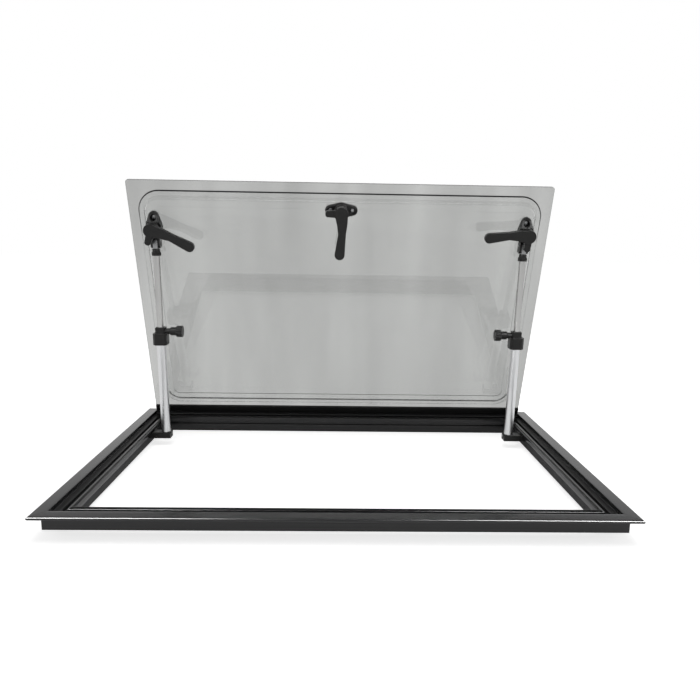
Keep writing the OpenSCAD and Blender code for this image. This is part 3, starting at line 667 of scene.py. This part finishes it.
# Each screw of a latch: its place x and s, its radius, its cross's angle and its seat's height.
heads = {"centre": [(x, CENTRE_LATCH_S, SCREW_R, twist, POCKET_FLOOR)
                    for x, twist in ((-CENTRE_SCREW_X, 0.9), (CENTRE_SCREW_X, 0.35))]}
for place, x, twist, fork_twist in (("left", -SIDE_LATCH_X, 0.5, 1.1),
                                    ("right", SIDE_LATCH_X, 0.2, 0.7)):
    heads[place] = [(x, SIDE_LATCH_S + SIDE_SCREW_S, SCREW_R, twist, POCKET_FLOOR),
                    (x, SIDE_LATCH_S + FORK_SCREW_S, FORK_SCREW_R, fork_twist, FORK_FLOOR)]
for place, screws in heads.items():
    shells = [at_latch(x, s, pan_head(radius, twist) + (0, 0, height))
              for x, s, radius, twist, height in screws]
    new_piece("latch_pan_screws_" + place, tube_mesh("latch_pan_screws_" + place, shells), zinc,
              nodes=["latch_screws_" + place])

# The forks' cheeks
# The nylon cheeks of a side base's fork run a little past the stay's pin, each with a rounded end,
# and shield the stay's eye.
CHEEK_IN = 4.25*MM
CHEEK_OUT = 7.35*MM
CHEEK_EASE = 2.2*MM
CHEEK_BEVEL = 0.5*MM
# Points of a cheek's side in mm: towards the free edge from the latch's middle, and off the pane.
CHEEK_SIDE = ((-15.0, 0.4), (-33.6, 0.4), (-33.6, 12.2), (-30.5, 14.4), (-16.0, 14.4),
              (-15.0, 12.0))


def bevelled(piece, width):
    """Rounds the edges of a piece that turn by more than 50 degrees."""
    bevel = piece.modifiers.new("eased edges", "BEVEL")
    bevel.width = width
    bevel.segments = 2
    bevel.angle_limit = math.radians(50)


cheek_outline = eased(np.array(CHEEK_SIDE)*MM, CHEEK_EASE, 6)
for place, x in (("left", -SIDE_LATCH_X), ("right", SIDE_LATCH_X)):
    cheeks = []
    for low, high in ((-CHEEK_OUT, -CHEEK_IN), (CHEEK_IN, CHEEK_OUT)):
        plate = np.stack([np.insert(cheek_outline, 0, across, 1) for across in (low, high)])
        cheeks.append(at_latch(x, SIDE_LATCH_S, plate))
    cheek = new_piece("latch_fork_cheeks_" + place, tube_mesh("latch_fork_cheeks_" + place, cheeks),
                      moulded)
    bevelled(cheek, CHEEK_BEVEL)
    shiny_mouldings.append(cheek)

# The latch levers
# Black nylon handles that turn on the bases' spindles, cranked outwards and wider at the tip. A
# tongue at right angles to the handle catches behind the frame when the window is shut.
for place in ("left", "right", "centre"):
    softened("latch_lever_" + place, "latch_lever_handle_" + place, moulded,
             LATCH_VOXEL, "lever_" + place)

# The stays
# Each is an aluminium tube in a nylon foot that is screwed to the stile, and a rod that slides in
# it. The rod's ribbed end holds a zinc eye, pinned in the latch base's fork. A moulded collar on
# the tube's end clamps the rod.
alloy_finish = {}
for part, base, gloss in (("tube", (0.93, 0.94, 0.95), 0.3), ("rod", (0.66, 0.66, 0.65), 0.24)):
    alloy_finish[part], alloy_bsdf = shader("satin aluminium " + part, base, gloss, 1.0)
    vary(alloy_finish[part], alloy_bsdf, Colour_spread=0.06, Roughness_spread=0.08,
         Broad_scale=200.0, Fine_scale=2200.0, Bump=0.06, Stretch=(1, 1, 0.05))
STAY_VOXEL = 0.4*MM
RING_R = 7.4*MM
STEP_R = 6.2*MM
RIB_LOW = -24.2*MM
RIB_HIGH = -20.0*MM
RIB_COUNT = 24
RIB_DEPTH = 0.5*MM
EYE_R = 5.6*MM
EYE_HALF_W = 3.8*MM
EYE_HALF_L = 5.0*MM
EYE_LOW = -14.0*MM
EYE_BEVEL = 0.6*MM
FOOT_SCREW_OUT = 9.6*MM
FOOT_SCREW_FRONT = 3.0*MM
FOOT_SCREW_R = 2.1*MM
FOOT_SCREW_TWIST = 0.6
FOOT_SCREW_SINK = 0.2*MM
FOOT_TOP = TIP_Z - 7.5*MM
# Points (radius, height above the top pin) of the end fitting in mm: rod, ribbed ring, stem, top.
FITTING_PROFILE = (
    (0.01, -17), (5.25, -17), (5.25, -25), (6.9, -25), (7.25, -24.8), (7.4, -24.4), (7.4, -24.0),
    (7.4, -20.2), (7.4, -19.8), (7.25, -19.4), (6.9, -19.2), (6.3, -19.2), (6.2, -19.1),
    (6.2, -14.6), (6.1, -14.2), (5.8, -14), (0.01, -14))


def on_stay(place, points):
    """Places points drawn on a stay: x to the right, z up the rod, with z = 0 at its top pin.

    The place is the top pin, plus x to the right, plus y across the rod, plus z along it.
    """
    tube_x, low_pin, top_pin = (np.array(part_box(name + place)).mean(0)
                                for name in ("stay_tube_", "stay_foot_pin_", "stay_top_pin_"))
    along = (top_pin - low_pin)*(0, 1, 1)
    along /= np.linalg.norm(along)
    across = np.array([0, along[2], -along[1]])
    origin = top_pin*(0, 1, 1) + tube_x*(1, 0, 0)
    return (origin + points[..., :1]*np.array([1.0, 0, 0]) + points[..., 1:2]*across
            + points[..., 2:]*along)


def turned(profile, count):
    """Rings of a profile of points (radius, height) turned about the z axis."""
    a = np.linspace(0, 2*np.pi, count, endpoint=False)
    r, z = np.array(profile, float).T[:, :, None]
    return np.stack([r*np.cos(a), r*np.sin(a), z + 0*a], -1)


def ribbed(rings, low, high, count, depth):
    """The rings with ribs between two heights.

    There, outside the step's radius, a radius is multiplied by
    1 - depth * (0.5 + 0.5 * cos(count * angle)) / R, where R is the end ring's radius.
    """
    a = np.linspace(0, 2*np.pi, rings.shape[1], endpoint=False)
    radius = np.hypot(rings[..., 0], rings[..., 1])
    band = (rings[..., 2] > low) & (rings[..., 2] < high) & (radius > STEP_R)
    cut = 1 - band*depth*(0.5 + 0.5*np.cos(count*a))/RING_R
    return rings*np.stack([cut, cut, np.ones_like(cut)], -1)


fitting = ribbed(turned(np.array(FITTING_PROFILE)*MM, 192), RIB_LOW, RIB_HIGH, RIB_COUNT, RIB_DEPTH)
eye_outline = np.concatenate([arc((0, 0), EYE_R, 0, 180, 24),
                              [(-EYE_HALF_L, EYE_LOW), (EYE_HALF_L, EYE_LOW)]])
eye_block = np.stack([np.insert(eye_outline, 0, x, 1) for x in (-EYE_HALF_W, EYE_HALF_W)])
for place, sign in (("left", -1), ("right", 1)):
    name = "stay_fitting_rings_" + place
    shiny_mouldings.append(new_piece(name, tube_mesh(name, [on_stay(place, fitting)]), moulded,
                                     nodes=["stay_fitting_" + place]))
    name = "stay_fitting_eye_" + place
    eye = new_piece(name, tube_mesh(name, [on_stay(place, eye_block)]), zinc,
                    nodes=["stay_fitting_" + place])
    bevelled(eye, EYE_BEVEL)
    foot_low, foot_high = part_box("stay_foot_" + place)
    tube_low, tube_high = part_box("stay_tube_" + place)
    screw_x = (tube_low.x + tube_high.x)/2 + sign*FOOT_SCREW_OUT
    screw_y = (foot_low.y + foot_high.y)/2 - FOOT_SCREW_FRONT
    foot_screw = pan_head(FOOT_SCREW_R, FOOT_SCREW_TWIST) + (screw_x, screw_y,
                                                             FOOT_TOP - FOOT_SCREW_SINK)
    name = "stay_foot_screw_" + place
    new_piece(name, tube_mesh(name, [foot_screw]), zinc)
for place in ("left", "right"):
    for part in ("foot", "eye", "collar"):
        softened("stay_" + part + "_" + place, "stay_" + part + "_moulding_" + place, moulded,
                 STAY_VOXEL)
    for part, finish in (("tube", alloy_finish["tube"]), ("rod", alloy_finish["rod"]),
                         ("foot_pin", zinc), ("top_pin", zinc)):
        cad = frame["nodes"]["stay_" + part + "_" + place]
        cad.data.materials.clear()
        cad.data.materials.append(finish)

# The clamp knobs
# Black nylon grips that turn on spindles in the collars' sides. Turning one presses a shoe on the
# rod, which holds the window open.
KNOB_VOXEL = 0.35*MM
for place in ("left", "right"):
    softened("clamp_knob_" + place, "clamp_knob_grip_" + place, moulded,
             KNOB_VOXEL, "knob_" + place)

# The studio
# A white floor and walls under a dark ceiling, a soft lamp above, two strip lights that only show
# as reflections, and a pale glowing curtain behind the pane that only shows through it, with the
# shade and light of folds painted into its glow.
FLOOR_PAINT = (0.9, 0.9, 0.9, 1)
FLOOR_GLOW = 0.74
FLOOR_GLOSSY_GLOW = 0.2
FLOOR_HALF = 12.0


def studio_material(name):
    """A new material that holds an output node only, with its nodes, its links and that output."""
    material = bpy.data.materials.new(name)
    material.use_nodes = True
    nodes, links = material.node_tree.nodes, material.node_tree.links
    nodes.clear()
    return material, nodes, links, nodes.new("ShaderNodeOutputMaterial")


def studio_sheet(name, corners, material):
    """A flat sheet with four corners, that belongs to the studio and not to the window."""
    mesh = bpy.data.meshes.new(name)
    mesh.from_pydata(corners, [], [(0, 1, 2, 3)])
    mesh.materials.append(material)
    sheet = bpy.data.objects.new(name, mesh)
    bpy.context.scene.collection.objects.link(sheet)
    sheet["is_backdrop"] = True
    return sheet


def ray_level(nodes, links, path, seen, glossy, others):
    """A level by the kind of ray: seen for camera and transmission rays, glossy for reflections.

    level = mix(others, seen, camera or transmission), then mix(that, glossy, glossy ray). Each
    level is a number or another node's output.
    """
    either = nodes.new("ShaderNodeMath")
    either.operation = "MAXIMUM"
    links.new(path.outputs["Is Camera Ray"], either.inputs[0])
    links.new(path.outputs["Is Transmission Ray"], either.inputs[1])
    last = others
    for factor, level in ((either.outputs[0], seen), (path.outputs["Is Glossy Ray"], glossy)):
        choice = nodes.new("ShaderNodeMix")
        links.new(factor, choice.inputs["Factor"])
        for socket, value in (("A", last), ("B", level)):
            if isinstance(value, (int, float)):
                choice.inputs[socket].default_value = value
            else:
                links.new(value, choice.inputs[socket])
        last = choice.outputs["Result"]
    return last


floor_material, floor_nodes, floor_links, floor_out = studio_material("studio floor")
floor_paint = floor_nodes.new("ShaderNodeBsdfDiffuse")
floor_paint.inputs["Color"].default_value = FLOOR_PAINT
floor_glow = floor_nodes.new("ShaderNodeEmission")
floor_sum = floor_nodes.new("ShaderNodeAddShader")
floor_path = floor_nodes.new("ShaderNodeLightPath")
floor_level = ray_level(floor_nodes, floor_links, floor_path, FLOOR_GLOW, FLOOR_GLOSSY_GLOW, 0.0)
floor_links.new(floor_level, floor_glow.inputs["Strength"])
floor_links.new(floor_paint.outputs[0], floor_sum.inputs[0])
floor_links.new(floor_glow.outputs[0], floor_sum.inputs[1])
floor_links.new(floor_sum.outputs[0], floor_out.inputs["Surface"])
studio_sheet("studio_floor", [(FLOOR_HALF*x, FLOOR_HALF*y, 0)
                              for x, y in ((-1, -1), (1, -1), (1, 1), (-1, 1))], floor_material)

CURTAIN_Y = FRAME_H/2 + 0.03
CURTAIN_HALF = 0.9
CURTAIN_TOP = 1.2
CURTAIN_LEAN = math.radians(12)
CURTAIN_SQUEEZE = (7, 1, 1.1)
FOLD_SCALE = 1.6
FOLD_DETAIL = 2.5
FOLD_DIM = 0.72
FOLD_BRIGHT = 0.98
# The curtain is a flat sheet. A noise dims its glow between FOLD_DIM and FOLD_BRIGHT, which is
# painted shade and light of folds.
curtain_material, curtain_nodes, curtain_links, curtain_out = studio_material("studio curtain")
curtain_glow = curtain_nodes.new("ShaderNodeEmission")
curtain_place = curtain_nodes.new("ShaderNodeTexCoord")
curtain_turn = curtain_nodes.new("ShaderNodeMapping")
curtain_turn.inputs["Rotation"].default_value = (0, CURTAIN_LEAN, 0)
curtain_turn.inputs["Scale"].default_value = CURTAIN_SQUEEZE
curtain_fold_painted_shade = curtain_nodes.new("ShaderNodeTexNoise")
curtain_fold_painted_shade.inputs["Scale"].default_value = FOLD_SCALE
curtain_fold_painted_shade.inputs["Detail"].default_value = FOLD_DETAIL
curtain_ramp = curtain_nodes.new("ShaderNodeMapRange")
for name, number in (("From Min", 0.3), ("From Max", 0.7), ("To Min", FOLD_DIM),
                     ("To Max", FOLD_BRIGHT)):
    curtain_ramp.inputs[name].default_value = number
curtain_links.new(curtain_place.outputs["Object"], curtain_turn.inputs["Vector"])
curtain_links.new(curtain_turn.outputs[0], curtain_fold_painted_shade.inputs["Vector"])
curtain_links.new(curtain_fold_painted_shade.outputs["Fac"], curtain_ramp.inputs["Value"])
curtain_links.new(curtain_ramp.outputs[0], curtain_glow.inputs["Strength"])
curtain_links.new(curtain_glow.outputs[0], curtain_out.inputs["Surface"])
studio_curtain = studio_sheet("studio_curtain", [
    (-CURTAIN_HALF, CURTAIN_Y, 0), (CURTAIN_HALF, CURTAIN_Y, 0),
    (CURTAIN_HALF, CURTAIN_Y, CURTAIN_TOP), (-CURTAIN_HALF, CURTAIN_Y, CURTAIN_TOP)],
    curtain_material)
studio_curtain.visible_camera = False
studio_curtain.visible_diffuse = False
studio_curtain.visible_glossy = False
studio_curtain.visible_shadow = False

world = bpy.data.worlds.new("studio surround")
bpy.context.scene.world = world
world.use_nodes = True
world_nodes, world_links = world.node_tree.nodes, world.node_tree.links
world_glow = world_nodes["Background"]
world_glow.inputs["Color"].default_value = (1, 1, 1, 1)
WORLD_FILL = 0.3
CEILING = 0.08
WALL_FRONT = 0.86
WALL_BACK = 1.0
DOORWAY = 0.5
# The parts of a way's x, y or z over which one level turns into the next.
WALL_TURN = (-0.2, 0.4)
DOORWAY_SIDE = (0.06, 0.34)
DOORWAY_TURN = (-0.5, 0.0)
CEILING_EDGE = (0.28, 0.5)


def world_range(value, low, high, at_low, at_high):
    """The value carried from low..high to at_low..at_high along a smooth step."""
    node = world_nodes.new("ShaderNodeMapRange")
    node.interpolation_type = "SMOOTHSTEP"
    for name, number in (("From Min", low), ("From Max", high), ("To Min", at_low),
                         ("To Max", at_high)):
        node.inputs[name].default_value = number
    world_links.new(value, node.inputs["Value"])
    return node.outputs[0]


def world_math(operation, first, second):
    """The result of one Math node on two numbers or outputs."""
    node = world_nodes.new("ShaderNodeMath")
    node.operation = operation
    for socket, value in zip(node.inputs, (first, second)):
        if isinstance(value, (int, float)):
            socket.default_value = value
        else:
            world_links.new(value, socket)
    return node.outputs[0]


world_path = world_nodes.new("ShaderNodeLightPath")
world_way = world_nodes.new("ShaderNodeTexCoord")
world_axes = world_nodes.new("ShaderNodeSeparateXYZ")
world_links.new(world_way.outputs["Generated"], world_axes.inputs[0])
way_x, way_y, way_z = (world_axes.outputs[name] for name in "XYZ")
wall = world_range(way_y, *WALL_TURN, WALL_FRONT, WALL_BACK)
beside = world_range(world_math("ABSOLUTE", way_x, 0.0), *DOORWAY_SIDE, 0.0, 1.0)
doorway = world_math("MAXIMUM", beside, world_range(way_y, *DOORWAY_TURN, 0.0, 1.0))
lit_wall = world_math("MULTIPLY", wall, world_range(doorway, 0.0, 1.0, DOORWAY, 1.0))
below_ceiling = world_range(way_z, *CEILING_EDGE, 1.0, 0.0)
room = world_math("ADD", world_math("MULTIPLY", lit_wall, below_ceiling), CEILING)
world_links.new(ray_level(world_nodes, world_links, world_path, 1.0, room, WORLD_FILL),
                world_glow.inputs["Strength"])


def soft_lamp(name, place, target, size, watts, diffuse=True, glossy=True, receivers=None,
              bounces=8):
    """A rectangular area lamp at a place, turned towards a target, and which pieces it reaches."""
    light = bpy.data.lights.new(name, "AREA")
    light.shape = "RECTANGLE"
    light.size, light.size_y = size
    light.energy = watts
    light.cycles.max_bounces = bounces
    lamp = bpy.data.objects.new(name, light)
    way = np.array(target, float) - np.array(place, float)
    lamp.rotation_mode = "QUATERNION"
    lamp.rotation_quaternion = Vector(way).to_track_quat("-Z", "Y")
    lamp.location = place
    lamp.visible_diffuse = diffuse
    lamp.visible_glossy = glossy
    if receivers:
        lamp.light_linking.receiver_collection = receivers
    bpy.context.scene.collection.objects.link(lamp)


def pieces_collection(name, pieces):
    """A collection that only says which pieces a lamp reaches."""
    collection = bpy.data.collections.new(name)
    for piece in pieces:
        collection.objects.link(piece)
    return collection


SOFTBOX_PLACE = (0.1, -0.1, 1.9)
SOFTBOX_TARGET = (0, 0, 0.1)
SOFTBOX_SIZE = (1.8, 0.9)
SOFTBOX_WATTS = 14.0
soft_lamp("overhead softbox", SOFTBOX_PLACE, SOFTBOX_TARGET, SOFTBOX_SIZE, SOFTBOX_WATTS,
          glossy=False)
STRIP_W = 0.7
STRIP_Y = -1.4
STRIP_Z = 1.6
STRIP_TARGET = (0, -0.2, 0.03)
MOULDING_WATTS = 36.0
sill_alone = pieces_collection("the sill that shows the strip lights", [shiny_sill])
all_mouldings = pieces_collection("mouldings that show the strip lights", shiny_mouldings)
for hand, across, length, sill_watts in (("left", -1.42, 2.8, 330.0), ("right", 1.18, 2.2, 195.0)):
    for pieces, watts in ((sill_alone, sill_watts), (all_mouldings, MOULDING_WATTS)):
        soft_lamp(hand + " strip light on " + pieces.name, (across, STRIP_Y, STRIP_Z),
                  STRIP_TARGET, (STRIP_W, length), watts, diffuse=False, receivers=pieces,
                  bounces=0)

# The camera
# It stands in front of the sill and a little lower than the open sash's latches, where the
# photograph was taken from, and its lens gives the photograph's angle of view.
CAMERA_PLACE = (-0.006, -0.9051, 0.3512)
CAMERA_PITCH = 9.91
CAMERA_YAW = -1.34
CAMERA_ROLL = 0.92
CAMERA_LENS = 31.44
SENSOR_W = 36.0
camera_data = bpy.data.cameras.new("camera")
camera_data.sensor_width = SENSOR_W
camera_data.sensor_fit = "HORIZONTAL"
camera_data.lens = CAMERA_LENS
camera = bpy.data.objects.new("camera", camera_data)
bpy.context.scene.collection.objects.link(camera)
turn = (Matrix.Rotation(math.radians(CAMERA_YAW), 4, "Z")
        @ Matrix.Rotation(math.radians(90 - CAMERA_PITCH), 4, "X")
        @ Matrix.Rotation(math.radians(CAMERA_ROLL), 4, "Z"))
camera.matrix_world = Matrix.Translation(CAMERA_PLACE) @ turn
bpy.context.scene.camera = camera
bpy.context.scene.view_settings.view_transform = "Standard"

low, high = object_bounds()
